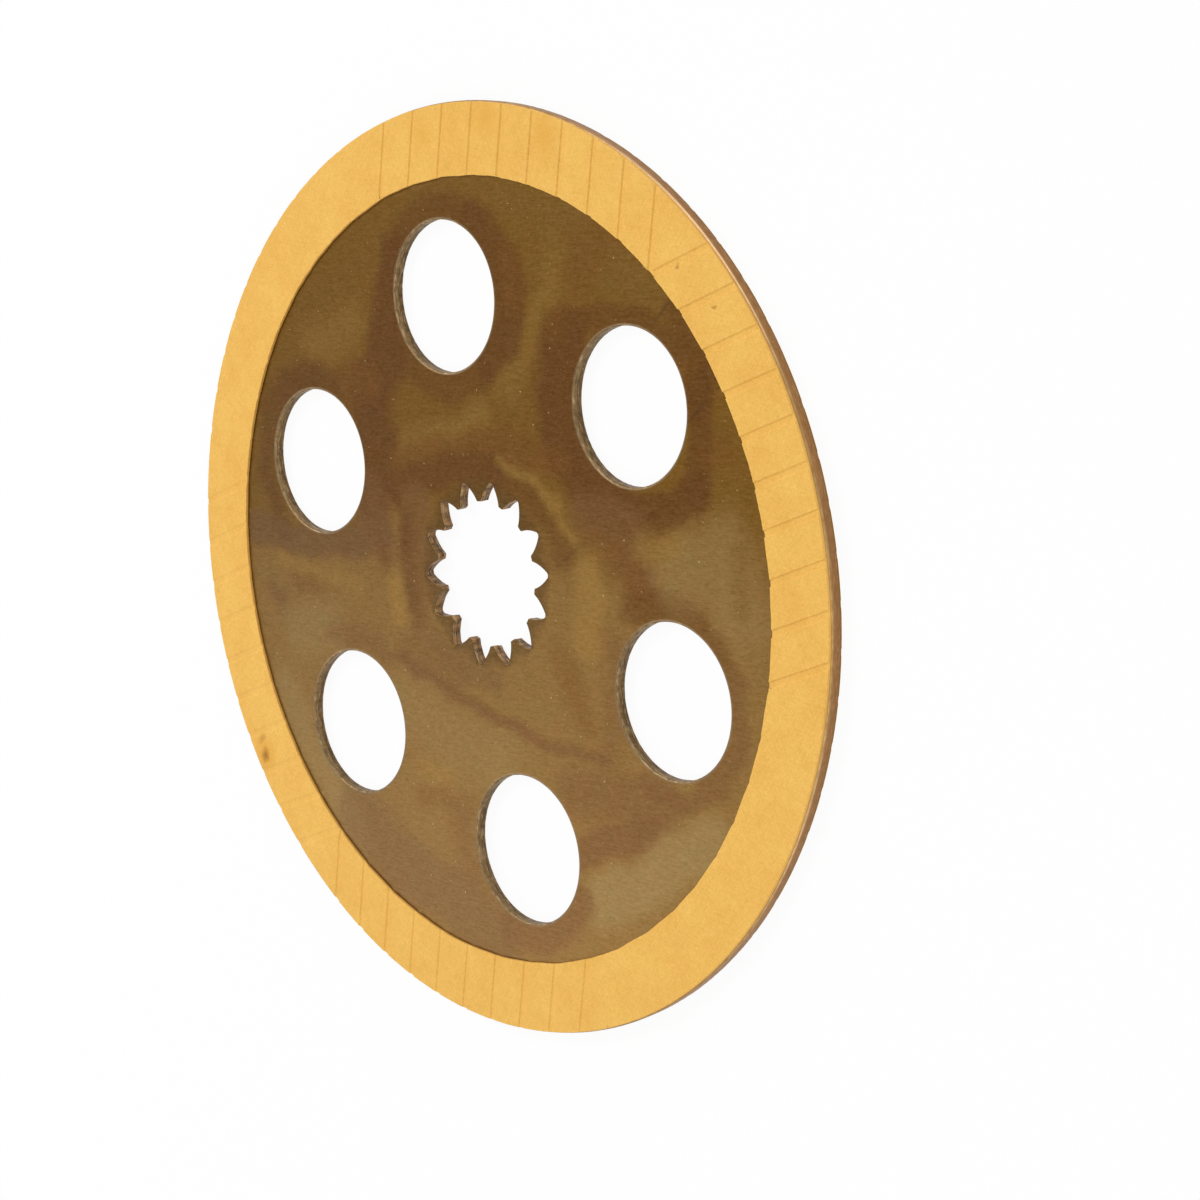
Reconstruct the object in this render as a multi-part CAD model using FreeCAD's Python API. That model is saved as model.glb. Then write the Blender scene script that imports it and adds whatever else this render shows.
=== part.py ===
import FreeCAD, Part
import math
import os

# Wet brake disc: one stamped steel plate with a splined bore, and a grooved friction lining bonded to
# each face. The disc lies flat. The origin is on its axis, on the lower friction face, +Z goes up
# through the disc and +X runs through the centre of one window. All sizes are in millimetres.

# Steel plate
plate_diameter = 222.7
plate_thickness = 2.6
plate_rim_bevel = 0.3           # edge that the blanking punch rolls over, on the upper side of the rim

# Windows that let the oil through the plate
window_count = 6
window_diameter = 36.2
window_circle_diameter = 133.4
window_edge_bevel = 0.3         # edge that the punch rolls over, on the upper side of each window

# Involute spline that slides on the shaft
tooth_count = 14
spline_module = 2.83            # pitch diameter for each tooth
spline_pressure_angle = 35.0
spline_height_factor = 0.85     # height of a tooth on each side of the pitch circle, in modules
tooth_tip_round = 0.35
spline_turn = -0.9              # degrees from +X to the middle of the nearest tooth space

# Friction linings, one on each face
lining_width = 16.8
lining_thickness = 0.75
lining_ledge = 0.3              # bare steel left outside the lining

# Oil grooves: in each sector of a lining they run parallel to the middle of the sector
sector_count = 6
grooves_per_sector = 10
groove_width = 1.8
groove_floor_width = 1.2
groove_depth = 0.3
sector_turn = -19.5             # degrees from +X to the middle of the nearest sector, on the upper face
sector_meeting = 0.65           # how far short of the lining the end grooves of neighbouring sectors meet

# Values that follow from the sizes above
plate_radius = plate_diameter / 2
lining_outer_radius = plate_radius - lining_ledge
lining_inner_radius = lining_outer_radius - lining_width
plate_bottom = lining_thickness
plate_top = plate_bottom + plate_thickness
disc_thickness = plate_top + lining_thickness
sector_half_angle = math.pi / sector_count
sector_meeting_radius = lining_inner_radius - sector_meeting
groove_pitch = 2 * sector_meeting_radius * math.sin(sector_half_angle) / (grooves_per_sector - 1)
tool_reach = plate_thickness    # how far a cutting tool stands past the faces that it goes through
halving_stop = 1e-9             # width at which a search by halving ends

up = FreeCAD.Vector(0, 0, 1)
axis_foot = FreeCAD.Vector(0, 0, 0)


def polar(radius, angle, height=0.0):
    """Point at a radius and an angle in radians about the axis of the disc."""
    return FreeCAD.Vector(radius * math.cos(angle), radius * math.sin(angle), height)


def cylinder(radius, height, foot):
    return Part.makeCylinder(radius, height, foot, up)


def plate_top_circles(plate, radius):
    """Round edges of one radius in the upper face of the plate."""
    found = []
    for edge in plate.Edges:
        if isinstance(edge.Curve, Part.Circle) and math.isclose(edge.Curve.Radius, radius):
            if math.isclose(edge.BoundBox.ZMin, plate_top) and math.isclose(edge.BoundBox.ZMax, plate_top):
                found.append(edge)
    return found


def involute(angle):
    return math.tan(angle) - angle


class Spline:
    """Outline of the bore, seen as one tooth space between two half teeth."""

    def __init__(self):
        pressure = math.radians(spline_pressure_angle)
        pitch_radius = spline_module * tooth_count / 2
        self.base = pitch_radius * math.cos(pressure)
        self.major = pitch_radius + spline_height_factor * spline_module
        self.minor = pitch_radius - spline_height_factor * spline_module
        # Half the angle of a tooth space at the base circle, where the flanks begin.
        self.base_half_angle = math.pi / (2 * tooth_count) + involute(pressure)
        self.find_root_arc()
        self.find_tip_arc()

    def flank(self, roll):
        """Point of the flank at a roll angle, on the side where angles are positive."""
        angle = self.base_half_angle - roll + math.atan(roll)
        return polar(self.base * math.hypot(1, roll), angle)

    def find_root_arc(self):
        """The root is one arc that touches both flanks and the major circle. A search finds its centre."""
        low = self.base
        high = self.major
        while high - low > halving_stop:
            centre = (low + high) / 2
            pressure = math.acos(self.base / centre)
            radius = self.base * (self.base_half_angle + pressure - math.tan(pressure))
            if centre + radius < self.major:
                low = centre
            else:
                high = centre
        self.root_roll = self.base_half_angle + pressure

    def find_tip_arc(self):
        """A small arc joins the flank to the minor circle, inside the tooth."""
        centre = self.minor + tooth_tip_round
        line = math.sqrt(centre ** 2 - self.base ** 2)
        self.tip_roll = (line - tooth_tip_round) / self.base
        angle = self.base_half_angle - self.tip_roll + math.atan2(line, self.base)
        self.tip_centre = polar(centre, angle)
        self.tip_angle = angle

    def tip_arc(self):
        """Arc from the flank to the minor circle."""
        start = self.flank(self.tip_roll)
        end = polar(self.minor, self.tip_angle)
        middle = (start + end) * 0.5 - self.tip_centre
        middle.normalize()
        return Part.Arc(start, self.tip_centre + middle * tooth_tip_round, end).toShape()

    def flank_arc(self):
        """Over its short working height the involute is drawn as one arc through three of its points."""
        rolls = (self.tip_roll, (self.tip_roll + self.root_roll) / 2, self.root_roll)
        return Part.Arc(*[self.flank(roll) for roll in rolls]).toShape()

    def land_arc(self):
        """Tip of the tooth that follows, on the minor circle."""
        half_pitch = math.pi / tooth_count
        start = polar(self.minor, self.tip_angle)
        end = polar(self.minor, 2 * half_pitch - self.tip_angle)
        return Part.Arc(start, polar(self.minor, half_pitch), end).toShape()

    def root_arc(self):
        upper = self.flank(self.root_roll)
        lower = FreeCAD.Vector(upper.x, -upper.y, 0)
        return Part.Arc(lower, FreeCAD.Vector(self.major, 0, 0), upper).toShape()

    def wire(self):
        flank = self.flank_arc()
        tip = self.tip_arc()
        across = FreeCAD.Vector(0, 1, 0)
        space = [self.root_arc(), flank, tip, self.land_arc()]
        space += [flank.mirror(axis_foot, across), tip.mirror(axis_foot, across)]
        edges = []
        for tooth in range(tooth_count):
            for edge in space:
                turned = edge.copy()
                turned.rotate(axis_foot, up, spline_turn + 360.0 * tooth / tooth_count)
                edges.append(turned)
        return Part.Wire(Part.__sortEdges__(edges))


def bore_tool():
    face = Part.Face(Spline().wire())
    face.translate(up * (plate_bottom - tool_reach))
    return face.extrude(up * (plate_thickness + 2 * tool_reach))


def make_plate():
    blank = cylinder(plate_radius, plate_thickness, up * plate_bottom)
    windows = []
    for window in range(window_count):
        centre = polar(window_circle_diameter / 2, 2 * math.pi * window / window_count)
        foot = centre + up * (plate_bottom - tool_reach)
        windows.append(cylinder(window_diameter / 2, plate_thickness + 2 * tool_reach, foot))
    plate = blank.cut(Part.makeCompound(windows))
    plate = plate.makeChamfer(window_edge_bevel, plate_top_circles(plate, window_diameter / 2))
    plate = plate.makeChamfer(plate_rim_bevel, plate_top_circles(plate, plate_radius))
    return plate.cut(bore_tool())


def groove_bar(offset):
    """Cutter for one groove that runs along +X in the upper face, at a sideways offset."""
    start = lining_inner_radius * math.cos(sector_half_angle) - groove_width
    length = lining_outer_radius + groove_width - start
    slope = (groove_width - groove_floor_width) / 2 / groove_depth
    top_half = groove_width / 2 + slope * groove_depth
    floor_half = groove_floor_width / 2
    top = disc_thickness + groove_depth
    floor = disc_thickness - groove_depth
    corners = [(-floor_half, floor), (floor_half, floor), (top_half, top), (-top_half, top)]
    points = [FreeCAD.Vector(start, offset + side, height) for side, height in corners]
    section = Part.Face(Part.makePolygon(points + points[:1]))
    return section.extrude(FreeCAD.Vector(length, 0, 0))


def groove_tools():
    bars = []
    for sector in range(sector_count):
        angle = sector_turn + 360.0 * sector / sector_count
        for groove in range(grooves_per_sector):
            bar = groove_bar((groove - (grooves_per_sector - 1) / 2) * groove_pitch)
            bar.rotate(axis_foot, up, angle)
            bars.append(bar)
    return Part.makeCompound(bars)


def make_upper_lining():
    disc = cylinder(lining_outer_radius, lining_thickness, up * plate_top)
    opening = cylinder(lining_inner_radius, lining_thickness + 2 * tool_reach, up * (plate_top - tool_reach))
    return disc.cut(opening).cut(groove_tools())


def make_lower_lining(upper):
    """The same lining turned over about +X, so that it shows the same grooves from below."""
    lining = upper.copy()
    lining.rotate(up * (disc_thickness / 2), FreeCAD.Vector(1, 0, 0), 180)
    return lining


upper_lining = make_upper_lining()
nodes = {
    "core_plate": make_plate(),
    "upper_lining": upper_lining,
    "lower_lining": make_lower_lining(upper_lining),
}
os.makedirs("parts", exist_ok=True)
for name, shape in nodes.items():
    solid = shape.Solids[0] if len(shape.Solids) == 1 else shape
    solid.exportStep("parts/" + name + ".step")
    print(name, "solids", len(shape.Solids), "valid", shape.isValid(), "volume", round(shape.Volume, 1))
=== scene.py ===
import math

import bmesh
import bpy
import numpy as np
from mathutils import Matrix, Vector, noise
from mathutils.geometry import delaunay_2d_cdt


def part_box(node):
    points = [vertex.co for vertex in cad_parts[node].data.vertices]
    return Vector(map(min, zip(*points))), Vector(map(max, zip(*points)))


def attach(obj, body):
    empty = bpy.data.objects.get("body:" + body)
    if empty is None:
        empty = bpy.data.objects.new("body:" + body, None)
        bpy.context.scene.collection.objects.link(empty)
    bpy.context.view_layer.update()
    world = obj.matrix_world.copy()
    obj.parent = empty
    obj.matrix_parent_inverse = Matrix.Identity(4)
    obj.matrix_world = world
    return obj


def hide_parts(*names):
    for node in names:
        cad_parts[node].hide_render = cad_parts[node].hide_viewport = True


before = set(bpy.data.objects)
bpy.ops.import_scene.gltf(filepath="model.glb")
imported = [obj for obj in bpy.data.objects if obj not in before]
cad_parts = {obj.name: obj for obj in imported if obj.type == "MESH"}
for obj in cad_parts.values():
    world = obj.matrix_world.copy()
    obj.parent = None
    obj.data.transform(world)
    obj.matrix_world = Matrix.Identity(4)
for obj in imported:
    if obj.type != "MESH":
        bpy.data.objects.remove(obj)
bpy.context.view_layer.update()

# Sizes below are in millimetres, and Blender works in metres.
MM = 0.001

# Windows and bore, the same sizes as in the solid
window_count = 6
window_radius = 18.1
window_circle_radius = 66.7
tooth_count = 14
spline_module = 2.83
spline_pressure_angle = 35.0
spline_height_factor = 0.85
tooth_tip_round = 0.35
spline_turn = -0.9

# Grooves, the same sizes as in the solid
sector_count = 6
grooves_per_sector = 10
groove_width = 1.8
groove_floor_width = 1.2
groove_depth = 0.3
sector_turn = -19.5
sector_meeting = 0.65           # how far short of the lining the end grooves of neighbouring sectors meet

# Blanked edges of the plate: the punch rolls over the upper edge, then cuts, then the steel tears
rim_roll = 0.5                  # width of the rolled edge
rim_roll_depth = 0.5
window_roll = 0.6
window_roll_depth = 0.4
tooth_roll = 0.3
tooth_roll_depth = 0.3
roll_lead_in = 1.15             # where the flat face ends, in widths of the roll
torn_share = 0.6                # share of the thickness that is torn and not cut
torn_depth = 0.14               # unevenness of the torn part
cut_roughness = 0.1             # unevenness of the cut part, as a share of the torn part's
torn_draft = 0.08               # how far the torn part leans back
burr_height = 0.06
burr_width = 0.05
burr_foot = 0.2                 # from the torn part back to the flat lower face

# Friction lining
# For each sector, the share of the depth that the photograph shows and the width of a groove's rounded side
groove_looks = [(0.5, 0.8), (1.0, 0.32), (1.0, 0.36), (0.6, 0.7), (0.55, 0.75), (0.8, 0.45)]
lining_edge_round = 0.12
lip_height = 0.02               # the press raises a lip along each groove
lip_width = 0.25
groove_wander = 0.15            # unevenness of a groove's depth, as a share of it
face_wander = 0.01              # unevenness of the pressed face
ragged_edge = 0.16              # unevenness of the punched edges
lower_groove_look = (1.0, 0.55)   # the same for the lower lining
groove_end_share = 0.35         # share of its depth that a lower groove keeps at the lining's outer edge
groove_end_reach = 1.2          # how far in from there it loses depth, for each whole depth lost

# How finely the meshes are divided. On the plate this sets how sharp a stain's edge can be.
upper_face_step = 1.0
lower_face_step = 2.0
rim_points = 900
window_points = 240
lining_step = 0.65
edge_clearance = 0.5            # between the points inside a face and its windows
merge_distance = 0.0005
sharp_angle = 40.0              # in degrees, from which two faces meet in a sharp edge
halving_stop = 1e-9             # width at which a search by halving ends

# Shares of the film that is rubbed off the windows' rolled edges, and that is caked along the teeth
worn_share = 0.6
caked_share = 0.6

# The photograph's view. Its right-hand side of the disc lies photo_turn degrees from +X towards +Y.
photo_turn = 21.87
camera_place = (445.35, 279.81, 445.33)
camera_aim = (36.95, 10.96, 2.05)
camera_roll = -100.793
camera_lens = 86.428
sensor_width = 36.0

# Softboxes: angle from the picture's right-hand side, elevation, distance, size and power in watts
softboxes = {
    "key_softbox": (135.0, 45.0, 1200.0, 500.0, 6.0),
    "upper_strip": (60.0, 14.0, 900.0, 300.0, 1.4),      # low, so that the grooves cast shade
    "lower_strip": (-60.0, 14.0, 900.0, 300.0, 0.7),
    "side_softbox": (-20.0, 50.0, 600.0, 200.0, 0.6),    # lifts the lining at the lower right
    "gloss_softbox": (215.0, 35.0, 800.0, 420.0, 1.2),   # mirrored in the plate
}
world_diffuse = 0.465           # strength of the white surroundings as light
floor_glow = 0.6                # share of the floor that glows and isn't lit, as other surfaces see it
floor_white = 0.93              # the same share as the camera and the steel see it
floor_half_width = 4000.0


def corner_radii(node):
    """Distances from the axis of a solid's corners, in mm."""
    return [math.hypot(v.co.x, v.co.y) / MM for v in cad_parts[node].data.vertices]


plate_radius = max(corner_radii("core_plate"))
lining_outer_radius = max(corner_radii("upper_lining"))
lining_inner_radius = min(corner_radii("upper_lining"))
plate_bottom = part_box("core_plate")[0].z / MM
plate_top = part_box("core_plate")[1].z / MM
disc_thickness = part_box("upper_lining")[1].z / MM
sector_half_angle = math.pi / sector_count
corner_offset = lining_inner_radius * math.sin(sector_half_angle)
root_radius = spline_module * (tooth_count / 2 + spline_height_factor)
end_groove = (lining_inner_radius - sector_meeting) * math.sin(sector_half_angle)
groove_pitch = 2 * end_groove / (grooves_per_sector - 1)
tear_height = plate_bottom + (plate_top - plate_bottom) * torn_share


# Shader nodes

SHARE, FIRST, SECOND, MIXED = 0, 6, 7, 2      # sockets of a Mix node for colours


def linear(hexcode):
    """Linear colour for an sRGB hex value such as #8a6534."""
    parts = [int(hexcode[i:i + 2], 16) / 255 for i in (1, 3, 5)]
    return tuple(((c + 0.055) / 1.055) ** 2.4 if c > 0.04045 else c / 12.92 for c in parts) + (1.0,)


def add(tree, kind, inputs=None, **settings):
    """Adds a node with its settings. Each input is given a value, or a link when it is a socket."""
    node = tree.nodes.new(kind)
    for name, value in settings.items():
        setattr(node, name, value)
    for name, value in (inputs or {}).items():
        if isinstance(value, bpy.types.NodeSocket):
            tree.links.new(value, node.inputs[name])
        else:
            node.inputs[name].default_value = value
    return node


def new_material(name):
    """An empty material: its tree, its surface shader and the place on the object in mm."""
    material = bpy.data.materials.new(name)
    material.use_nodes = True
    tree = material.node_tree
    shader = tree.nodes["Principled BSDF"]
    metres = add(tree, "ShaderNodeTexCoord").outputs["Object"]
    place = add(tree, "ShaderNodeVectorMath", {0: metres, "Scale": 1 / MM}, operation="SCALE").outputs[0]
    return material, tree, shader, place


def turned(tree, place, turn, size):
    """The place turned and measured in cells of a given size, for grain that runs one way."""
    return add(tree, "ShaderNodeMapping", {"Vector": place, "Rotation": (0, 0, math.radians(turn)),
               "Scale": size}, vector_type="TEXTURE").outputs[0]


def pushed(tree, place, size, reach):
    """The place pushed about by noise, so that what is drawn there gets an uneven outline."""
    cloud = add(tree, "ShaderNodeTexNoise", {"Vector": place, "Scale": 1 / size, "Detail": 3.0})
    centred = add(tree, "ShaderNodeVectorMath", {0: cloud.outputs["Color"], 1: (0.5, 0.5, 0.5)},
                  operation="SUBTRACT")
    scaled = add(tree, "ShaderNodeVectorMath", {0: centred.outputs[0], "Scale": 2 * reach},
                 operation="SCALE").outputs[0]
    return add(tree, "ShaderNodeVectorMath", {0: place, 1: scaled}, operation="ADD").outputs[0]


def grained(tree, colour, tone, grey):
    """A colour made lighter and darker by a tone. Grey is added meanwhile, which leaves the grain nearly
    colourless."""
    raised = add(tree, "ShaderNodeVectorMath", {0: colour, 1: (grey,) * 3}, operation="ADD").outputs[0]
    scaled = add(tree, "ShaderNodeVectorMath", {0: raised, "Scale": tone}, operation="SCALE").outputs[0]
    return add(tree, "ShaderNodeVectorMath", {0: scaled, 1: (grey,) * 3}, operation="SUBTRACT").outputs[0]


def marked(tree, place, marks):
    """Share of soft oval marks. Each is given by its x, y, half length, half width, turn and strength."""
    total = None
    for x, y, length, width, turn, strength in marks:
        x, y = on_disc(x, y)
        moved = add(tree, "ShaderNodeMapping", {"Vector": place, "Location": (x, y, 0),
                    "Rotation": (0, 0, math.radians(turn + photo_turn)), "Scale": (length, width, 1 / MM)},
                    vector_type="TEXTURE")
        oval = add(tree, "ShaderNodeTexGradient", {"Vector": moved.outputs[0]}, gradient_type="SPHERICAL")
        oval = add(tree, "ShaderNodeMath", {0: oval.outputs["Fac"], 1: strength}, operation="MULTIPLY")
        oval = oval.outputs[0]
        if total is None:
            total = oval
        else:
            total = add(tree, "ShaderNodeMath", {0: total, 1: oval}, operation="MAXIMUM").outputs[0]
    return total


def on_disc(x, y):
    """Turns a place that is given as the photograph shows the disc, x to the right and y up."""
    turn = math.radians(photo_turn)
    cos, sin = math.cos(turn), math.sin(turn)
    return x * cos - y * sin, x * sin + y * cos


# Baked film on the plate. Its colour goes by its thickness, and it is painted on in strokes.
# Its lower half is painted lighter and greyer, which is painted reflection.
film_colours = {
    "olive": "#66460e",         # thin and even
    "dull": "#674916",
    "khaki_painted_reflection": "#735527",         # painted reflection: lighter and greyer, for the lower half
    # thin, with a trace of scale
    "pale": "#7b6237",
    "gold": "#80602a",
    "brown": "#57350a",         # pooled
    "red": "#623d0e",
    "plum": "#654420",          # pooled over scale
    "dusk": "#614424",
    "worn": "#766450",          # rubbed off the rolled edges of the windows
    "caked": "#46300f",         # thickest, along the teeth
}

# Each stroke: colour, half width, softness of its edge, strength, and the line it follows as the
# photograph shows the disc, x to the right and y up
strokes = [
    ("dull", 7, 10, 0.8, [(-86, 30), (-84, 10)]),
    ("dull", 9, 12, 0.9, [(36, 84), (52, 72), (66, 60)]),
    ("dull", 6, 6, 0.6, [(-20, 91), (20, 90)]),
    ("olive", 9, 8, 1.0, [(-66, 56), (-52, 62), (-46, 72), (-30, 84)]),
    ("gold", 5, 8, 0.35, [(-60, 54), (-44, 60)]),
    ("olive", 8, 6, 1.0, [(-26, 36), (-5, 38), (14, 40)]),
    ("gold", 3, 6, 0.4, [(-28, 30), (-12, 33), (2, 38)]),
    ("gold", 4, 8, 0.3, [(12, 46), (24, 60), (31, 72)]),
    # Pooled film between the windows at the upper left
    ("brown", 7, 5, 0.9, [(-26, 74), (-29, 62), (-33, 50), (-39, 42)]),
    ("brown", 8, 6, 0.85, [(-42, 42), (-38, 30), (-40, 16), (-34, 8)]),
    ("red", 5, 4, 0.8, [(-52, 44), (-40, 45)]),
    ("brown", 4, 6, 0.55, [(-74, 44), (-56, 44)]),
    ("brown", 3.5, 5, 0.7, [(-28, 78), (-18, 86), (-6, 87), (4, 83)]),
    ("brown", 4, 6, 0.7, [(-62, 47), (-80, 38), (-84, 22), (-78, 6)]),
    # Round the upper window
    ("brown", 4, 4, 0.6, [(-24, 50), (-12, 45), (2, 47)]),
    ("brown", 5.5, 4, 0.85, [(4, 82), (12, 75), (14, 66), (12, 56), (6, 51)]),
    ("red", 4, 5, 0.6, [(15, 74), (16, 66)]),
    # Round the window at the upper right
    ("brown", 8, 5, 0.95, [(32, 54), (29, 44), (30, 34), (36, 25), (44, 20)]),
    ("red", 3, 4, 0.6, [(29, 59), (38, 60)]),
    ("brown", 3, 3, 0.7, [(34, 58), (46, 61), (60, 60), (70, 54)]),
    ("brown", 5, 3, 0.9, [(44, 19), (56, 17), (66, 19), (72, 23)]),
    ("brown", 4, 3, 0.8, [(72, 24), (75, 32), (74, 42), (80, 50)]),
    ("brown", 5, 5, 0.7, [(74, 44), (76, 54), (70, 64)]),
    ("red", 3, 5, 0.5, [(78, 30), (82, 34)]),
    ("red", 6, 8, 0.5, [(38, 72), (46, 80)]),
    ("plum", 6, 7, 0.8, [(38, 16), (50, 12), (54, 4)]),
    ("red", 5, 7, 0.5, [(40, 8), (50, 6), (54, -4)]),
    # Round the bore
    ("red", 4, 4, 0.6, [(-30, 26), (-18, 28), (0, 31), (14, 30), (28, 28)]),
    ("brown", 4, 4, 0.8, [(-36, 18), (-24, 22), (-8, 25), (6, 25)]),
    ("brown", 3.5, 5, 0.6, [(6, 24), (16, 21), (23, 14), (27, 6)]),
    ("gold", 1.2, 2.5, 0.6, [(7, 27), (20, 24), (27, 17), (31, 10)]),
    ("plum", 5, 6, 0.7, [(-24, 16), (-24, 0), (-27, -12)]),
    ("brown", 3, 5, 0.4, [(-29, 6), (-28, -8)]),
    ("gold", 2.5, 4, 0.8, [(-34, 12), (-34, 2), (-33, -12)]),
    # Scale bands at the left
    ("dusk", 4.5, 3, 0.75, [(-90, 6), (-70, 4), (-50, 5), (-38, 8)]),
    ("plum", 7, 7, 0.6, [(-44, 16), (-36, 6)]),
    ("gold", 2, 4, 0.5, [(-80, -2), (-60, -4), (-50, -6)]),
    ("dusk", 2.5, 5, 0.5, [(-85, -9), (-81, -12)]),
    ("red", 3, 6, 0.4, [(-74, -7), (-66, -8)]),
    ("pale", 7, 9, 0.6, [(-74, -20), (-62, -18)]),
    ("plum", 3, 5, 0.5, [(-60, -19), (-48, -19), (-38, -24)]),
    ("dusk", 3, 5, 0.5, [(-20, -18), (-10, -24), (2, -25)]),
    # Lower half
    ("pale", 8, 12, 0.4, [(-32, -34), (-14, -42), (2, -46)]),
    ("gold", 3, 5, 0.4, [(-28, -51), (-18, -52)]),
    ("red", 2.5, 5, 0.35, [(-29, -58), (-21, -57)]),
    ("plum", 1.6, 2.5, 0.8, [(-34, -23), (-22, -27), (-14, -31), (0, -34.5), (12, -37.5), (26, -40),
                             (40, -41)]),
    ("plum", 4, 6, 0.4, [(-30, -21), (-14, -28)]),
    ("pale", 6, 8, 0.7, [(-82, -36), (-76, -48), (-66, -58), (-58, -70)]),
    ("dusk", 9, 7, 0.55, [(-54, -66), (-40, -76), (-20, -82), (-4, -88)]),
    ("plum", 5, 8, 0.5, [(-14, -60), (-12, -72)]),
    ("gold", 5, 6, 0.7, [(36, 2), (36, -12)]),
    ("red", 4, 6, 0.4, [(26, -18), (32, -32)]),
    ("plum", 4, 7, 0.5, [(44, -14), (44, -28), (40, -40)]),
    ("brown", 4, 4, 0.6, [(50, -4), (60, -3), (70, -6), (78, -13)]),
    ("plum", 3, 4, 0.7, [(82, -18), (82, -32), (76, -42), (64, -48), (52, -45)]),
    ("plum", 6, 7, 0.6, [(28, -50), (44, -50), (58, -50)]),
    ("plum", 4, 3.5, 0.8, [(28, -64), (40, -60), (54, -56)]),
    ("pale", 6, 6, 0.9, [(36, -75), (48, -70), (60, -62), (72, -56)]),
    ("plum", 4, 4, 0.7, [(2, -87), (14, -87), (24, -82), (28, -76)]),
    ("pale", 7, 10, 0.6, [(66, 4), (80, 12), (84, -4)]),
    ("gold", 3, 6, 0.5, [(56, 10), (66, 10)]),
    ("dull", 2, 4, 0.5, [(85, 10), (85, -4)]),
]


def film_on(x, y):
    """Colour of the film at places of the photograph's disc: olive above, painted reflection below, then the
    strokes.
    """
    border, border_softness = 8, 30
    # The lower half is painted lighter and greyer: a painted reflection of a bright surface below the disc.
    lower = smooth_share((border - y) / border_softness + 0.5)[:, None]
    film = linear_row("olive") * (1 - lower) + linear_row("khaki_painted_reflection") * lower
    for colour, half_width, softness, strength, line in strokes:
        nearest = np.full(len(x), 1e9)
        for (ax, ay), (bx, by) in zip(line, line[1:]):
            length = (bx - ax) ** 2 + (by - ay) ** 2
            along = np.clip(((x - ax) * (bx - ax) + (y - ay) * (by - ay)) / length, 0, 1)
            nearest = np.minimum(nearest, np.hypot(x - ax - along * (bx - ax), y - ay - along * (by - ay)))
        share = smooth_share((half_width - nearest) / softness + 0.5)[:, None] * strength
        film = film * (1 - share) + linear_row(colour) * share
    return film


def smooth_share(value):
    value = np.clip(value, 0, 1)
    return value * value * (3 - 2 * value)


def linear_row(colour):
    return np.array(linear(film_colours[colour])[:3])


def make_plate_material():
    """Cold-rolled steel under a thin baked film of oil and resin: half glossy, olive where the film is thin
    and dark brown where it has pooled, with the fine ripple of the mill's rolls and a few bright specks."""
    material, tree, shader, place = new_material("rolled_steel_baked_film")
    film = add(tree, "ShaderNodeAttribute", attribute_name="film").outputs["Vector"]
    # The mill's rolls leave marks under 0.1 mm apart. They are drawn 0.7 mm and 0.25 mm apart, so that they
    # show.
    along = turned(tree, pushed(tree, place, 7.0, 0.8), photo_turn, (4.0, 0.7, 4.0))
    ripple = add(tree, "ShaderNodeTexNoise", {"Vector": along, "Scale": 1.0, "Detail": 1.0}).outputs["Fac"]
    scratched = turned(tree, place, photo_turn, (1.6, 0.25, 4.0))
    scratches = add(tree, "ShaderNodeTexNoise", {"Vector": scratched, "Scale": 1.0,
                    "Detail": 1.0}).outputs["Fac"]
    # Mottling 0.9 mm across, where the film has crept
    mottling = add(tree, "ShaderNodeTexNoise", {"Vector": place, "Scale": 1 / 0.9, "Detail": 3.0,
                   "Roughness": 0.8}).outputs["Fac"]
    tone = add(tree, "ShaderNodeMath", {0: ripple, 1: 0.6, 2: mottling},
               operation="MULTIPLY_ADD").outputs[0]
    tone = add(tree, "ShaderNodeMath", {0: scratches, 1: 0.9, 2: tone},
               operation="MULTIPLY_ADD").outputs[0]
    tone = add(tree, "ShaderNodeMapRange", {"Value": tone, "From Min": 0.85, "From Max": 1.65,
               "To Min": 0.84, "To Max": 1.16}).outputs[0]
    film = grained(tree, film, tone, 0.057)
    # Patches some 4 mm across that lean to red or to green
    patches = add(tree, "ShaderNodeTexNoise", {"Vector": place, "Scale": 1 / 4.0,
                  "Detail": 2.0}).outputs["Fac"]
    patches = add(tree, "ShaderNodeMapRange", {"Value": patches, "From Min": 0.35,
                  "From Max": 0.65}).outputs[0]
    lean = add(tree, "ShaderNodeMix", {SHARE: patches, FIRST: (1.02, 0.99, 0.98, 1.0),
               SECOND: (0.98, 1.01, 1.0, 1.0)}, data_type="RGBA").outputs[MIXED]
    film = add(tree, "ShaderNodeVectorMath", {0: film, 1: lean}, operation="MULTIPLY").outputs[0]
    # Bright specks from the peaks of a noise 0.8 mm across
    specks = add(tree, "ShaderNodeTexNoise", {"Vector": place, "Scale": 1 / 0.8,
                 "Detail": 0.0}).outputs["Fac"]
    specks = add(tree, "ShaderNodeMapRange", {"Value": specks, "From Min": 0.82, "From Max": 0.88,
                 "To Max": 0.5}).outputs[0]
    film = add(tree, "ShaderNodeMix", {SHARE: specks, FIRST: film, SECOND: linear("#b8a27c")},
               data_type="RGBA").outputs[MIXED]
    # Three faint score marks
    scores = marked(tree, place, [(30.7, 6.6, 9.0, 0.5, 33.0, 0.25), (64.7, 62.5, 4.5, 0.7, 42.0, 0.45),
                    (74.2, 40.8, 5.5, 0.7, 38.0, 0.45)])
    film = add(tree, "ShaderNodeMix", {SHARE: scores, FIRST: film, SECOND: linear("#2e1d0c")},
               data_type="RGBA").outputs[MIXED]
    tree.links.new(film, shader.inputs["Base Color"])
    shader.inputs["Metallic"].default_value = 0.88
    gloss = add(tree, "ShaderNodeMapRange", {"Value": mottling, "To Min": 0.38, "To Max": 0.52}).outputs[0]
    tree.links.new(gloss, shader.inputs["Roughness"])
    bump = add(tree, "ShaderNodeBump", {"Height": ripple, "Strength": 0.25, "Distance": 0.02 * MM})
    tree.links.new(bump.outputs[0], shader.inputs["Normal"])
    return material


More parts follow.
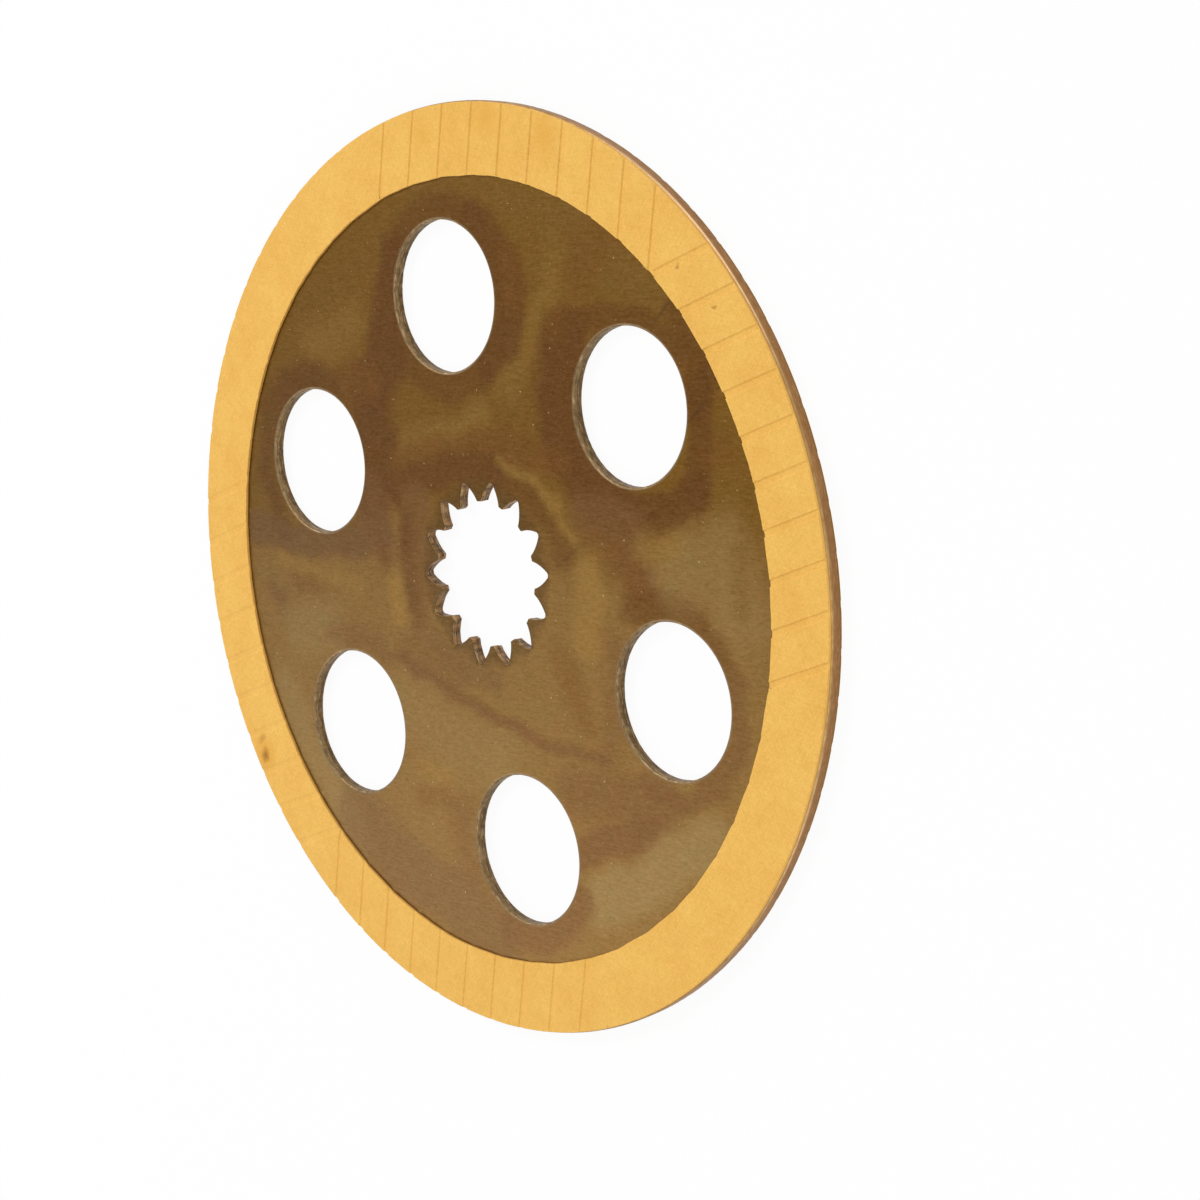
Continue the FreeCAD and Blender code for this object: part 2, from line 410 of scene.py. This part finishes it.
def make_sheared_material(name, cut, torn, pale, marks):
    """Blanked edge of the steel: an even cut band above, a darker torn band below it, pale ridges that run
    along the edge, and the punch's marks across it, which are as strong as marks says."""
    material, tree, shader, place = new_material(name)
    streaks = add(tree, "ShaderNodeTexNoise", {"Vector": turned(tree, place, 0.0, (2.4, 2.4, 0.35)),
                  "Scale": 1.0, "Detail": 4.0, "Roughness": 0.7}).outputs["Fac"]
    blotches = add(tree, "ShaderNodeTexNoise", {"Vector": turned(tree, place, 0.0, (6.0, 6.0, 1.6)),
                   "Scale": 1.0, "Detail": 2.0}).outputs["Fac"]
    height = add(tree, "ShaderNodeSeparateXYZ", {0: place}).outputs["Z"]
    # The border between the bands wanders by up to 1.2 mm and is 0.5 mm soft
    wander = add(tree, "ShaderNodeMath", {0: blotches, 1: 2.4, 2: -1.2},
                 operation="MULTIPLY_ADD").outputs[0]
    wandering = add(tree, "ShaderNodeMath", {0: height, 1: wander}, operation="ADD").outputs[0]
    low = add(tree, "ShaderNodeMapRange", {"Value": wandering, "From Min": tear_height + 0.25,
              "From Max": tear_height - 0.25}, interpolation_type="SMOOTHSTEP").outputs[0]
    steel = add(tree, "ShaderNodeMix", {SHARE: low, FIRST: linear(cut), SECOND: linear(torn)},
                data_type="RGBA").outputs[MIXED]
    across = add(tree, "ShaderNodeTexNoise", {"Vector": turned(tree, place, 0.0, (1.1, 1.1, 5.0)),
                 "Scale": 1.0, "Detail": 2.0}).outputs["Fac"]
    across = add(tree, "ShaderNodeMapRange", {"Value": across, "From Min": 0.35, "From Max": 0.65,
                 "To Min": 1 - marks, "To Max": 1 + marks * 0.7}).outputs[0]
    steel = add(tree, "ShaderNodeVectorMath", {0: steel, "Scale": across}, operation="SCALE").outputs[0]
    ridges = add(tree, "ShaderNodeMapRange", {"Value": streaks, "From Min": 0.5, "From Max": 0.64,
                 "To Max": 0.65}).outputs[0]
    steel = add(tree, "ShaderNodeMix", {SHARE: ridges, FIRST: steel, SECOND: linear(pale)},
                data_type="RGBA").outputs[MIXED]
    tree.links.new(steel, shader.inputs["Base Color"])
    shader.inputs["Metallic"].default_value = 0.85
    shader.inputs["Roughness"].default_value = 0.5
    bump = add(tree, "ShaderNodeBump", {"Height": streaks, "Strength": 0.5, "Distance": 0.06 * MM})
    tree.links.new(bump.outputs[0], shader.inputs["Normal"])
    return material


def make_wiped_material():
    """Steel outside the lining, wiped clean before bonding: pale, dull, a little blotched, with two painted
    highlights.
    """
    material, tree, shader, place = new_material("steel_wiped_clean_painted_glints")
    blotches = add(tree, "ShaderNodeTexNoise", {"Vector": place, "Scale": 1 / 2.5,
                   "Detail": 3.0}).outputs["Fac"]
    blotches = add(tree, "ShaderNodeMapRange", {"Value": blotches, "From Min": 0.35,
                   "From Max": 0.65}).outputs[0]
    steel = add(tree, "ShaderNodeMix", {SHARE: blotches, FIRST: linear("#987344"),
                SECOND: linear("#ae8c5c")}, data_type="RGBA").outputs[MIXED]
    # Two broad painted highlights, where the ledge catches the light at the upper and at the lower right
    painted_glints = marked(tree, place, [(74.0, 82.0, 45.0, 45.0, 0.0, 0.75),
                      (99.0, -50.0, 38.0, 38.0, 0.0, 0.35)])
    steel = add(tree, "ShaderNodeMix", {SHARE: painted_glints, FIRST: steel, SECOND: linear("#e8c090")},
                data_type="RGBA").outputs[MIXED]
    tree.links.new(steel, shader.inputs["Base Color"])
    shader.inputs["Metallic"].default_value = 0.8
    shader.inputs["Roughness"].default_value = 0.45
    return material


def make_lining_material():
    """Friction paper: golden resin-bound fibres pressed flat, quite matt, with soft clouds, a few specks and
    one brown smudge."""
    material, tree, shader, place = new_material("friction_paper")
    # The fibres are about 0.03 mm thick. They are drawn 0.3 mm thick in three directions, so that they show.
    fibres = None
    for turn in (12.0, 71.0, 134.0):
        cells = turned(tree, place, turn, (2.6, 0.3, 2.6))
        layer = add(tree, "ShaderNodeTexNoise", {"Vector": cells, "Scale": 1.0,
                    "Detail": 2.0}).outputs["Fac"]
        if fibres is None:
            fibres = layer
        else:
            fibres = add(tree, "ShaderNodeMath", {0: fibres, 1: layer}, operation="ADD").outputs[0]
    clouds = add(tree, "ShaderNodeTexNoise", {"Vector": place, "Scale": 1 / 9.0,
                 "Detail": 4.0}).outputs["Fac"]
    clouds = add(tree, "ShaderNodeMapRange", {"Value": clouds, "From Min": 0.3,
                 "From Max": 0.7}).outputs[0]
    paper = add(tree, "ShaderNodeMix", {SHARE: clouds, FIRST: linear("#e6b052"),
                SECOND: linear("#ebb95a")}, data_type="RGBA").outputs[MIXED]
    # Grit in the resin, also drawn coarser than it is
    grain = add(tree, "ShaderNodeTexNoise", {"Vector": place, "Scale": 1 / 0.35,
                "Detail": 2.0}).outputs["Fac"]
    tone = add(tree, "ShaderNodeMath", {0: grain, 1: 1.4, 2: fibres},
               operation="MULTIPLY_ADD").outputs[0]
    tone = add(tree, "ShaderNodeMapRange", {"Value": tone, "From Min": 1.6, "From Max": 2.8,
               "To Min": 0.925, "To Max": 1.07}).outputs[0]
    paper = grained(tree, paper, tone, 0.3)
    ochre = marked(tree, pushed(tree, place, 4.0, 2.0), [(10.0, 107.0, 9.0, 5.0, 0.0, 0.45),
                   (30.0, 102.0, 6.0, 9.0, 0.0, 0.45), (-12.0, 104.0, 5.0, 7.0, 0.0, 0.3),
                   (-92.5, -54.4, 6.0, 5.0, 60.0, 0.8)])
    paper = add(tree, "ShaderNodeMix", {SHARE: ochre, FIRST: paper, SECOND: linear("#da9a30")},
                data_type="RGBA").outputs[MIXED]
    spots = marked(tree, pushed(tree, place, 2.0, 1.0), [(-92.5, -54.4, 2.8, 2.0, 60.0, 1.0),
                   (-93.5, -50.0, 2.4, 1.2, 40.0, 0.5), (70.7, 72.3, 1.0, 0.8, 0.0, 0.8),
                   (81.6, 63.4, 1.0, 0.8, 0.0, 0.8)])
    paper = add(tree, "ShaderNodeMix", {SHARE: spots, FIRST: paper, SECOND: linear("#9c681e")},
                data_type="RGBA").outputs[MIXED]
    tree.links.new(paper, shader.inputs["Base Color"])
    shader.inputs["Roughness"].default_value = 0.75
    shader.inputs["Specular IOR Level"].default_value = 0.3
    bump = add(tree, "ShaderNodeBump", {"Height": fibres, "Strength": 0.35, "Distance": 0.03 * MM})
    tree.links.new(bump.outputs[0], shader.inputs["Normal"])
    return material


def make_lining_edge_material(name, dirt_and_shade):
    """Cut edge of the friction paper: in layers, a little darker than the face, and brown towards its foot,
    where it meets the plate. The share given after the name is how much of it is brown all over: oil, and on
    the lower lining, which lies under the plate, painted shade as well."""
    material, tree, shader, place = new_material(name)
    layers = add(tree, "ShaderNodeTexNoise", {"Vector": turned(tree, place, 0.0, (2.0, 2.0, 0.2)),
                 "Scale": 1.0, "Detail": 3.0}).outputs["Fac"]
    paper = add(tree, "ShaderNodeMix", {SHARE: layers, FIRST: linear("#d89c44"), SECOND: linear("#f2c066")},
                data_type="RGBA").outputs[MIXED]
    height = add(tree, "ShaderNodeSeparateXYZ", {0: place}).outputs["Z"]
    middle = disc_thickness / 2
    apart = add(tree, "ShaderNodeMath", {0: height, 1: middle}, operation="SUBTRACT").outputs[0]
    apart = add(tree, "ShaderNodeMath", {0: apart}, operation="ABSOLUTE").outputs[0]
    foot = plate_top - middle
    # Brown towards the foot, up to 0.4 of it; on the lower lining the edge is brown all over, as oil and
    # painted shade under the plate
    brown_share = add(tree, "ShaderNodeMapRange", {"Value": apart, "From Min": foot + 0.25,
                "From Max": foot + 0.05, "To Min": dirt_and_shade, "To Max": max(dirt_and_shade, 0.4)}).outputs[0]
    paper = add(tree, "ShaderNodeMix", {SHARE: brown_share, FIRST: paper, SECOND: linear("#7a5226")},
                data_type="RGBA").outputs[MIXED]
    tree.links.new(paper, shader.inputs["Base Color"])
    shader.inputs["Roughness"].default_value = 0.85
    shader.inputs["Specular IOR Level"].default_value = 0.25
    bump = add(tree, "ShaderNodeBump", {"Height": layers, "Strength": 0.5, "Distance": 0.05 * MM})
    tree.links.new(bump.outputs[0], shader.inputs["Normal"])
    return material


def make_floor_material():
    """White paper sweep lit from behind: it shows as white, keeps part of the disc's shadow and lights the
    walls of the openings."""
    material, tree, shader, _ = new_material("white_paper_sweep")
    shader.inputs["Base Color"].default_value = (0.9, 0.9, 0.9, 1.0)
    shader.inputs["Roughness"].default_value = 0.9
    glow = add(tree, "ShaderNodeEmission", {"Color": (1.0, 1.0, 1.0, 1.0), "Strength": 1.0})
    path = add(tree, "ShaderNodeLightPath")
    seen = path.outputs["Is Camera Ray"]
    for ray in ("Is Glossy Ray", "Is Transmission Ray"):
        seen = add(tree, "ShaderNodeMath", {0: seen, 1: path.outputs[ray]}, operation="MAXIMUM").outputs[0]
    share = add(tree, "ShaderNodeMapRange", {"Value": seen, "To Min": floor_glow,
                "To Max": floor_white}).outputs[0]
    mixed = add(tree, "ShaderNodeMixShader", {0: share, 1: shader.outputs[0], 2: glow.outputs[0]})
    tree.links.new(mixed.outputs[0], tree.nodes["Material Output"].inputs["Surface"])
    return material


# Meshes

FILM, RIM, WINDOWS, BORE, WIPED = range(5)    # places of the plate's materials in their list
FACE, EDGE = range(2)                         # places of a lining's materials


def make_piece(name, points, faces, finishes, materials):
    """An object from points in mm. Points that lie together become one, and all normals face outwards."""
    mesh = bpy.data.meshes.new(name)
    mesh.from_pydata([tuple(c * MM for c in point) for point in points], [], faces)
    for material in materials:
        mesh.materials.append(material)
    mesh.polygons.foreach_set("material_index", finishes)
    mesh.polygons.foreach_set("use_smooth", [True] * len(faces))
    shape = bmesh.new()
    shape.from_mesh(mesh)
    bmesh.ops.remove_doubles(shape, verts=shape.verts, dist=merge_distance * MM)
    bmesh.ops.recalc_face_normals(shape, faces=shape.faces)
    shape.to_mesh(mesh)
    shape.free()
    mesh.set_sharp_from_angle(angle=math.radians(sharp_angle))
    piece = bpy.data.objects.new(name, mesh)
    bpy.context.scene.collection.objects.link(piece)
    return piece


def unevenness(x, y, z, size, seed=0.0):
    """Smooth noise from -1 to 1 whose humps are about size mm across."""
    return noise.noise(Vector((x / size + seed, y / size, z / size)))


def circle(radius, count, centre=(0.0, 0.0)):
    turns = np.linspace(0, 2 * math.pi, count, endpoint=False)
    return np.stack([centre[0] + radius * np.cos(turns), centre[1] + radius * np.sin(turns)], axis=1)


def arc(centre, start, end, count):
    """Points from start to end, the short way round a centre, without the last one."""
    a = math.atan2(start[1] - centre[1], start[0] - centre[0])
    b = math.atan2(end[1] - centre[1], end[0] - centre[0])
    sweep = (b - a + math.pi) % (2 * math.pi) - math.pi
    radius = math.hypot(start[0] - centre[0], start[1] - centre[1])
    turns = [a + sweep * i / count for i in range(count)]
    return [(centre[0] + radius * math.cos(t), centre[1] + radius * math.sin(t)) for t in turns]


def polar(radius, angle):
    return radius * math.cos(angle), radius * math.sin(angle)


def spline_outline():
    """Outline of the bore: the involute form of the solid, with more points."""
    pressure = math.radians(spline_pressure_angle)
    pitch_radius = spline_module * tooth_count / 2
    base = pitch_radius * math.cos(pressure)
    major = pitch_radius + spline_height_factor * spline_module
    minor = pitch_radius - spline_height_factor * spline_module
    half_space = math.pi / (2 * tooth_count) + math.tan(pressure) - pressure

    def flank(roll):
        return polar(base * math.hypot(1, roll), half_space - roll + math.atan(roll))

    low, high = base, major
    while high - low > halving_stop:
        root_centre = (low + high) / 2
        lean = math.acos(base / root_centre)
        if root_centre + base * (half_space + lean - math.tan(lean)) < major:
            low = root_centre
        else:
            high = root_centre
    root_roll = half_space + lean
    tip_centre_radius = minor + tooth_tip_round
    line = math.sqrt(tip_centre_radius ** 2 - base ** 2)
    tip_roll = (line - tooth_tip_round) / base
    tip_angle = half_space - tip_roll + math.atan2(line, base)
    half = arc((root_centre, 0.0), (major, 0.0), flank(root_roll), 6)
    half += [flank(roll) for roll in np.linspace(root_roll, tip_roll, 7)[:-1]]
    half += arc(polar(tip_centre_radius, tip_angle), flank(tip_roll), polar(minor, tip_angle), 5)
    half += arc((0.0, 0.0), polar(minor, tip_angle), polar(minor, math.pi / tooth_count), 3)
    space = np.array([(x, -y) for x, y in half[:0:-1]] + half)
    points = []
    for tooth in range(tooth_count):
        turn = math.radians(spline_turn) + 2 * math.pi * tooth / tooth_count
        cos, sin = math.cos(turn), math.sin(turn)
        points.append(space @ np.array([[cos, sin], [-sin, cos]]))
    return np.concatenate(points)


def left_normals(outline):
    along = np.roll(outline, -1, axis=0) - np.roll(outline, 1, axis=0)
    along /= np.linalg.norm(along, axis=1)[:, None]
    return np.stack([-along[:, 1], along[:, 0]], axis=1)


def edge_rows(roll, depth):
    """Rows of a blanked edge from the upper face to the lower: inset into the steel, height, share torn."""
    rows = [(roll * roll_lead_in, plate_top, 0.0)]
    for step in range(5):
        turn = math.pi / 2 * step / 4
        rows.append((roll * (1 - math.sin(turn)), plate_top - depth * (1 - math.cos(turn)), 0.0))
    for share in (0.35, 0.7, 1.0):
        rows.append((0.0, plate_top - depth + (tear_height - plate_top + depth) * share, cut_roughness))
    for share in np.linspace(0, 1, 9)[1:]:
        rows.append((torn_draft * share, tear_height + (plate_bottom - tear_height) * share, 1.0))
    rows.append((torn_draft + burr_width, plate_bottom - burr_height, 1.0))
    rows.append((torn_draft + burr_foot, plate_bottom, 0.0))
    return rows


def face_points(step):
    """Even points over the bare part of the plate's face, clear of its openings."""
    start, stop = -lining_inner_radius, lining_inner_radius + step
    columns = np.arange(start, stop, step)
    found = []
    for row, y in enumerate(np.arange(start, stop, step * math.sqrt(0.75))):
        x = columns + (step / 2 if row % 2 else 0.0)
        found.append(np.stack([x, np.full(len(x), y)], axis=1))
    points = np.concatenate(found)
    radius = np.hypot(points[:, 0], points[:, 1])
    clear = (radius > root_radius + step * 0.7) & (radius < lining_inner_radius + step)
    for window in range(window_count):
        x, y = polar(window_circle_radius, 2 * math.pi * window / window_count)
        clear &= np.hypot(points[:, 0] - x, points[:, 1] - y) > window_radius + edge_clearance + step * 0.6
    return points[clear]


def inside(outline, x, y):
    """Whether places lie inside a closed outline, by counting its crossings."""
    within = np.zeros(len(x), dtype=bool)
    for (ax, ay), (bx, by) in zip(outline, np.roll(outline, -1, axis=0)):
        if ay != by:
            within ^= ((ay > y) != (by > y)) & (x < ax + (y - ay) * (bx - ax) / (by - ay))
    return within


def fill_face(rings, height, step, points):
    """Triangles of a flat face between its rim and its openings. Adds the points inside it."""
    corners = [corner for ring in rings for corner in ring]
    places = [points[corner][:2] for corner in corners]
    borders, start = [], 0
    for ring in rings:
        count = len(ring)
        borders += [(start + i, start + (i + 1) % count) for i in range(count)]
        start += count
    for x, y in face_points(step):
        corners.append(len(points))
        places.append((x, y))
        points.append((x, y, height))
    corner_vectors = [Vector(place) for place in places]
    _, _, triangles, sources, _, _ = delaunay_2d_cdt(corner_vectors, borders, [], 0, 1e-6)
    triangles = np.array([[sources[corner][0] for corner in triangle] for triangle in triangles])
    places = np.array(places)
    middles = places[triangles].mean(axis=1)
    keep = np.ones(len(triangles), dtype=bool)
    start = len(rings[0])
    for ring in rings[1:]:
        keep &= ~inside(places[start:start + len(ring)], middles[:, 0], middles[:, 1])
        start += len(ring)
    return [tuple(corners[i] for i in triangle) for triangle in triangles[keep]]


def paint_film(piece):
    """Keeps the film's colour at each point of the plate. Stain outlines wander by a few mm."""
    turn = math.radians(-photo_turn)
    cos, sin = math.cos(turn), math.sin(turn)
    places = np.array([vertex.co[:] for vertex in piece.data.vertices]) / MM
    x, y = places[:, 0] * cos - places[:, 1] * sin, places[:, 0] * sin + places[:, 1] * cos
    wander = np.array([noise.noise_vector(Vector((a / 9, b / 9, 0))) * 2.2
                       + noise.noise_vector(Vector((a / 3, b / 3, 7))) * 0.8 for a, b in zip(x, y)])
    film = film_on(x + wander[:, 0], y + wander[:, 1])
    rubbed = np.zeros(len(x))
    for window in range(window_count):
        a, b = polar(window_circle_radius, 2 * math.pi * window / window_count)
        apart = np.hypot(places[:, 0] - a, places[:, 1] - b) - window_radius
        rubbed = np.maximum(rubbed, apart < window_roll * 1.02)
    rubbed = rubbed[:, None] * worn_share
    film = film * (1 - rubbed) + linear_row("worn") * rubbed
    caked = (np.hypot(x, y) < root_radius + tooth_roll)[:, None] * caked_share
    film = film * (1 - caked) + linear_row("caked") * caked
    layer = piece.data.attributes.new("film", "FLOAT_VECTOR", "POINT")
    layer.data.foreach_set("vector", film.ravel())


def make_plate(materials):
    """The plate: every outline gets a blanked edge, and two flat faces close it. With each outline goes the
    side that the steel is on, the roll, and how many rows of faces have the roll's finish."""
    outlines = [(circle(plate_radius, rim_points), 1.0, rim_roll, rim_roll_depth, WIPED, 5, RIM),
                (spline_outline(), -1.0, tooth_roll, tooth_roll_depth, FILM, 3, BORE)]
    for window in range(window_count):
        centre = polar(window_circle_radius, 2 * math.pi * window / window_count)
        outline = circle(window_radius, window_points, centre)
        outlines.append((outline, -1.0, window_roll, window_roll_depth, FILM, 2, WINDOWS))
    burr_rows = 3
    points, faces, finishes = [], [], []
    upper, lower = [], []
    for outline, side, roll, depth, roll_finish, roll_rows, wall_finish in outlines:
        into = left_normals(outline) * side
        rings = []
        for inset, height, torn in edge_rows(roll, depth):
            ring = []
            for (x, y), (nx, ny) in zip(outline, into):
                rough = unevenness(x, y, height * 2, 2.2) + unevenness(x, y, height, 0.7)
                inward = inset + abs(torn_depth * torn * rough / 2)
                lift = 0.0
                if height < plate_bottom:
                    lift = burr_height * unevenness(x, y, 0, 0.8, 5.0) / 2
                ring.append(len(points))
                points.append((x + nx * inward, y + ny * inward, height + lift))
            rings.append(ring)
        for row, (above, below) in enumerate(zip(rings, rings[1:])):
            if row >= len(rings) - burr_rows:
                finish = FILM
            else:
                finish = roll_finish if row < roll_rows else wall_finish
            for i, j in zip(range(len(above)), [*range(1, len(above)), 0]):
                faces.append((above[i], above[j], below[j], below[i]))
                finishes.append(finish)
        upper.append(rings[0])
        lower.append(rings[-1])
    upper_face = (upper, plate_top, upper_face_step)
    lower_face = (lower, plate_bottom, lower_face_step)
    for rings, height, step in (upper_face, lower_face):
        triangles = fill_face(rings, height, step, points)
        faces += triangles
        finishes += [FILM] * len(triangles)
    plate = make_piece("core_plate_detailed", points, faces, finishes, materials)
    paint_film(plate)
    return plate


def line_offsets():
    """Sideways places of the mesh lines that run along a sector's grooves, closest across the grooves."""
    across = (0.0, 0.3, 0.5, 0.6, 0.7, 0.8, 0.9, 1.0, 1.1, 1.25, 1.4)
    half = []
    groove = groove_pitch / 2
    while groove < end_groove + groove_pitch / 2:
        half += [groove - step for step in across[:0:-1]] + [groove + step for step in across]
        groove += groove_pitch
    lines = np.linspace(0, groove_pitch / 2 - across[-1], 7)[:-1].tolist()
    for place, following in zip(half, half[1:]):
        lines.append(place)
        gap = following - place
        if gap > across[-1]:
            lines += np.linspace(place, following, round(gap / lining_step) + 1)[1:-1].tolist()
    corner = lining_outer_radius * math.sin(sector_half_angle)
    lines += np.linspace(half[-1], corner, 12).tolist()
    lines = sorted([line for line in lines if abs(line - corner_offset) > 0.05] + [corner_offset])
    return [-line for line in lines[:0:-1]] + lines


def groove_share(side, flank):
    """How deep a groove is at a sideways place, from 0 on the face to 1 on its floor, and its lip."""
    groove = (abs(side) + groove_pitch / 2) % groove_pitch
    apart = min(groove, groove_pitch - groove)
    if abs(side) > end_groove:
        apart = abs(side) - end_groove
    middle_of_side = (groove_width + groove_floor_width) / 4
    share = 0.5 + (middle_of_side - apart) / flank
    share = min(max(share, 0.0), 1.0)
    lip = max(0.0, 1 - abs(apart - middle_of_side - flank / 2 - 0.1) / lip_width)
    return share * share * (3 - 2 * share), lip


def edge_drop(distance):
    """How far the rounded edge of a lining lies below its face."""
    if distance >= lining_edge_round:
        return 0.0
    inward = lining_edge_round - distance
    return lining_edge_round - math.sqrt(max(0.0, lining_edge_round ** 2 - inward ** 2))


def make_lining(name, materials, seed, turned_over):
    """A lining with its pressed grooves, rounded face edges and slightly ragged cut edges. Each sector has
    columns of points that run along its grooves. It is made as the upper one, and may be turned over."""
    bottom = plate_top
    near = np.array([0.0, 0.03, 0.07, 0.14, 0.3, 0.7])    # steps inwards from a cut edge
    wall_steps = 3
    points, faces, finishes = [], [], []

    def settle(x, y, z, side):
        """Moves a point near a punched edge by the unevenness of that edge, which runs nearly straight from
        groove to groove on the inner side."""
        radius = math.hypot(x, y)
        from_middle = side / groove_pitch - round(side / groove_pitch)
        inner = max(0.0, 1 - (radius - lining_inner_radius) / 1.0)
        outer = max(0.0, 1 - (lining_outer_radius - radius) / 1.0)
        rough = unevenness(x, y, 0, 7.0, seed) + unevenness(x, y, 0, 2.2, seed + 9) * 0.5
        rough += unevenness(x, y, 0, 0.8, seed + 4) * 0.3
        rough -= (1 - 4 * from_middle ** 2) * (0.5 + 0.5 * unevenness(x, y, 0, 30.0, seed + 6))
        move = ragged_edge * (inner * rough - outer * abs(unevenness(x, y, 0, 2.2, seed + 9)) * 0.4)
        return x * (1 + move / radius), y * (1 + move / radius), z

    for sector in range(sector_count):
        turn = math.radians(sector_turn + 360.0 * sector / sector_count)
        cos, sin = math.cos(turn), math.sin(turn)
        pressed, flank = lower_groove_look if turned_over else groove_looks[sector]
        columns = []
        for side in line_offsets():
            at_edge = abs(side) <= corner_offset + 1e-6
            if at_edge:
                start = math.sqrt(lining_inner_radius ** 2 - side ** 2)
            else:
                start = abs(side) / math.tan(sector_half_angle)
            end = math.sqrt(max(lining_outer_radius ** 2 - side ** 2, start ** 2))
            edge = near * min(1.0, (end - start) / 4)
            middle = np.linspace(start + edge[-1], end - edge[-1], 12)[1:-1]
            rows = [*(start + edge), *middle, *(end - edge[::-1])]
            share, lip = groove_share(side, flank)
            column = []
            for along in rows:
                x, y = along * cos - side * sin, along * sin + side * cos
                radius = math.hypot(x, y)
                depth = groove_depth * pressed * share
                depth *= 1 + groove_wander * unevenness(x, y, 0, 4.0, seed + 2)
                if turned_over:
                    depth *= min(1.0, groove_end_share + (lining_outer_radius - radius) / groove_end_reach)
                z = disc_thickness - lip_height * (1 - lip) - min(depth, groove_depth)
                z -= edge_drop(radius - lining_inner_radius) + edge_drop(lining_outer_radius - radius)
                z -= face_wander * (1 + unevenness(x, y, 0, 6.0, seed))
                column.append(len(points))
                points.append(settle(x, y, z, side))
            inner_wall, outer_wall = [], []
            for wall, top in ((inner_wall, column[0]), (outer_wall, column[-1])):
                x, y, z = points[top]
                for step in range(1, wall_steps + 1):
                    wall.append(len(points))
                    points.append((x, y, z + (bottom - z) * step / wall_steps))
            columns.append((column, inner_wall, outer_wall, at_edge))
        for (a, a_in, a_out, a_edge), (b, b_in, b_out, b_edge) in zip(columns, columns[1:]):
            strips = [(a, b, FACE), ([a[-1], *a_out], [b[-1], *b_out], EDGE),
                      ([a_in[-1], a_out[-1]], [b_in[-1], b_out[-1]], EDGE)]
            if a_edge and b_edge:
                strips.append(([a[0], *a_in], [b[0], *b_in], EDGE))
            for one, other, finish in strips:
                for i in range(len(one) - 1):
                    faces.append((one[i], one[i + 1], other[i + 1], other[i]))
                    finishes.append(finish)
    if turned_over:
        points = [(x, -y, disc_thickness - z) for x, y, z in points]
    return make_piece(name, points, faces, finishes, materials)


# Stage

def make_camera():
    camera = bpy.data.objects.new("camera", bpy.data.cameras.new("camera"))
    camera.data.sensor_width = sensor_width
    camera.data.lens = camera_lens
    camera.data.clip_start = 10 * MM
    camera.data.clip_end = 10000 * MM
    place, aim = Vector(camera_place) * MM, Vector(camera_aim) * MM
    facing = (aim - place).to_track_quat("-Z", "Y").to_matrix().to_4x4()
    rolled = Matrix.Rotation(math.radians(camera_roll), 4, "Z")
    camera.matrix_world = Matrix.Translation(place) @ facing @ rolled
    bpy.context.scene.collection.objects.link(camera)
    bpy.context.scene.camera = camera


def make_floor(material):
    half = floor_half_width * MM
    corners = [(-half, -half, 0.0), (half, -half, 0.0), (half, half, 0.0), (-half, half, 0.0)]
    mesh = bpy.data.meshes.new("floor")
    mesh.from_pydata(corners, [], [(0, 1, 2, 3)])
    mesh.materials.append(material)
    floor = bpy.data.objects.new("floor", mesh)
    bpy.context.scene.collection.objects.link(floor)


def make_softbox(name, angle, elevation, distance, size, power):
    """A square lamp that looks at the disc. The angle is counted from the picture's right-hand side."""
    lamp = bpy.data.lights.new(name, "AREA")
    lamp.size = size * MM
    lamp.energy = power
    turn, rise = math.radians(angle + photo_turn), math.radians(elevation)
    x, y = polar(math.cos(rise), turn)
    direction = Vector((x, y, math.sin(rise)))
    holder = bpy.data.objects.new(name, lamp)
    holder.location = direction * distance * MM
    holder.rotation_euler = direction.to_track_quat("Z", "Y").to_euler()
    bpy.context.scene.collection.objects.link(holder)


def make_world():
    """Even white surroundings. Straight at the camera and in the steel they show as plain white."""
    world = bpy.data.worlds.new("studio")
    bpy.context.scene.world = world
    world.use_nodes = True
    tree = world.node_tree
    path = add(tree, "ShaderNodeLightPath")
    seen = path.outputs["Is Camera Ray"]
    for ray in ("Is Glossy Ray", "Is Transmission Ray"):
        seen = add(tree, "ShaderNodeMath", {0: seen, 1: path.outputs[ray]}, operation="MAXIMUM").outputs[0]
    strength = add(tree, "ShaderNodeMapRange", {"Value": seen, "To Min": world_diffuse,
                   "To Max": 1.0}).outputs[0]
    tree.links.new(strength, tree.nodes["Background"].inputs["Strength"])
    tree.nodes["Background"].inputs["Color"].default_value = (1.0, 1.0, 1.0, 1.0)


bpy.context.scene.view_settings.view_transform = "Standard"
make_camera()
make_world()
for name, setting in softboxes.items():
    make_softbox(name, *setting)
make_floor(make_floor_material())

# In the order of FILM, RIM, WINDOWS, BORE and WIPED
plate_materials = [
    make_plate_material(),
    make_sheared_material("sheared_steel_rim", "#9c6e3c", "#926638", "#b08a5c", 0.08),
    make_sheared_material("sheared_steel_windows", "#78603c", "#644c2c", "#ae9470", 0.25),
    make_sheared_material("sheared_steel_bore", "#8c6c46", "#765636", "#c4ac8a", 0.55),
    make_wiped_material(),
]
paper = make_lining_material()
clean_edge = make_lining_edge_material("friction_paper_cut_edge", 0.0)
# The lower lining's cut edge is brown all over: oil, and painted shade where it lies under the plate
oily_shaded_edge = make_lining_edge_material("friction_paper_oily_shaded_edge", 0.85)
pieces = {
    "core_plate": make_plate(plate_materials),
    "upper_lining": make_lining("upper_lining_detailed", [paper, clean_edge], 0.0, False),
    "lower_lining": make_lining("lower_lining_detailed", [paper, oily_shaded_edge], 40.0, True),
}
for node, piece in pieces.items():
    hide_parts(node)
    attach(piece, "root")
